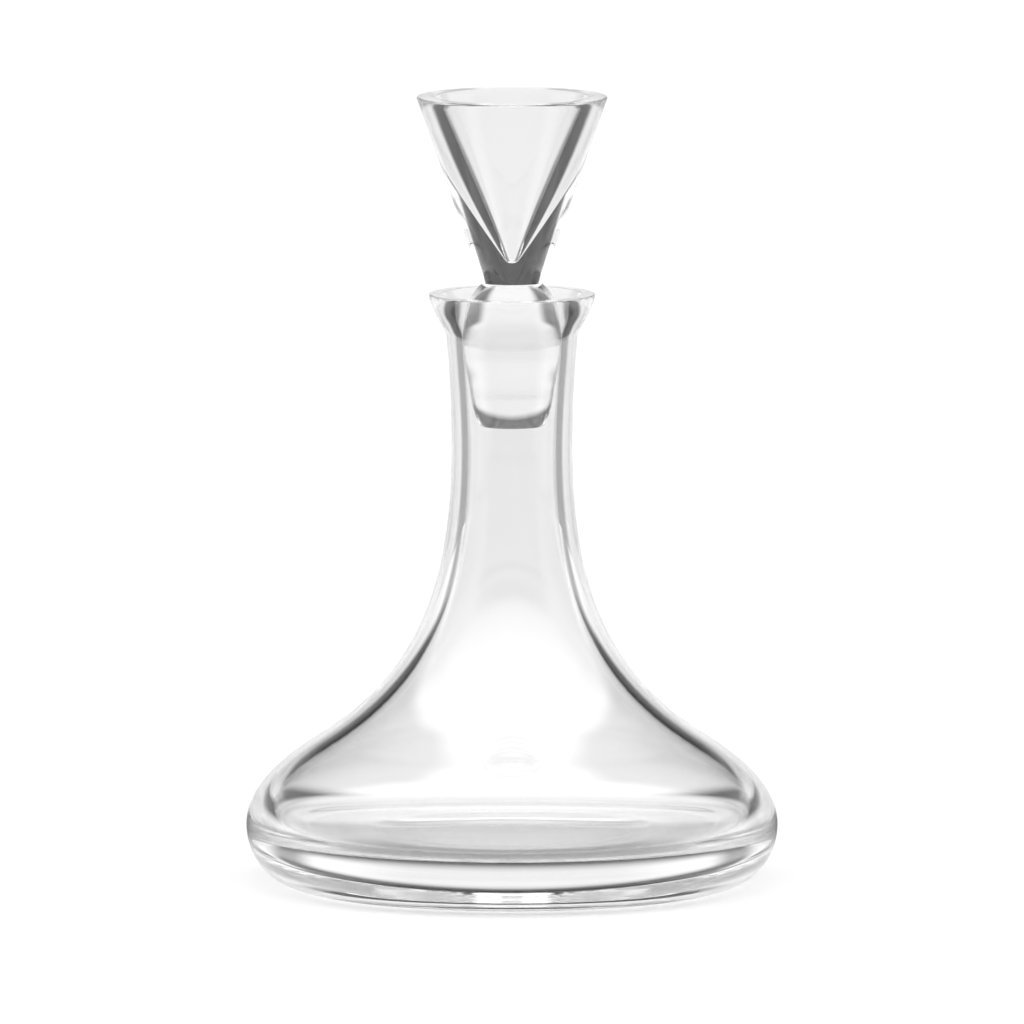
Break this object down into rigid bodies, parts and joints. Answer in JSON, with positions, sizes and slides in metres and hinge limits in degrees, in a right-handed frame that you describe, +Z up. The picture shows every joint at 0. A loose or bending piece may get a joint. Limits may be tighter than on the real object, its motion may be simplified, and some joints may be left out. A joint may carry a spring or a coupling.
{
  "type": "stoppered wine decanter",
  "caption": "Broad-based clear glass wine decanter with a slender flared neck and a hollow cone-headed glass stopper that lifts out.",
  "frame": {"origin": "middle of the foot, on the surface the decanter stands on", "axes": "+Z up along the decanter's axis of turning; the object is the same all round, so +X and +Y are arbitrary"},
  "size_m": [0.2, 0.2, 0.2988],
  "materials": {
    "clear_glass": "clear polished glass"
  },
  "bodies": {
    "flask": {"flask": "clear_glass"},
    "stopper": {"stopper": "clear_glass"}
  },
  "joints": [
    {"name": "stopper_lift", "type": "slide", "parent": "flask", "child": "stopper", "axis": [0, 0, 1], "range_m": [0, 0.075]}
  ]
}
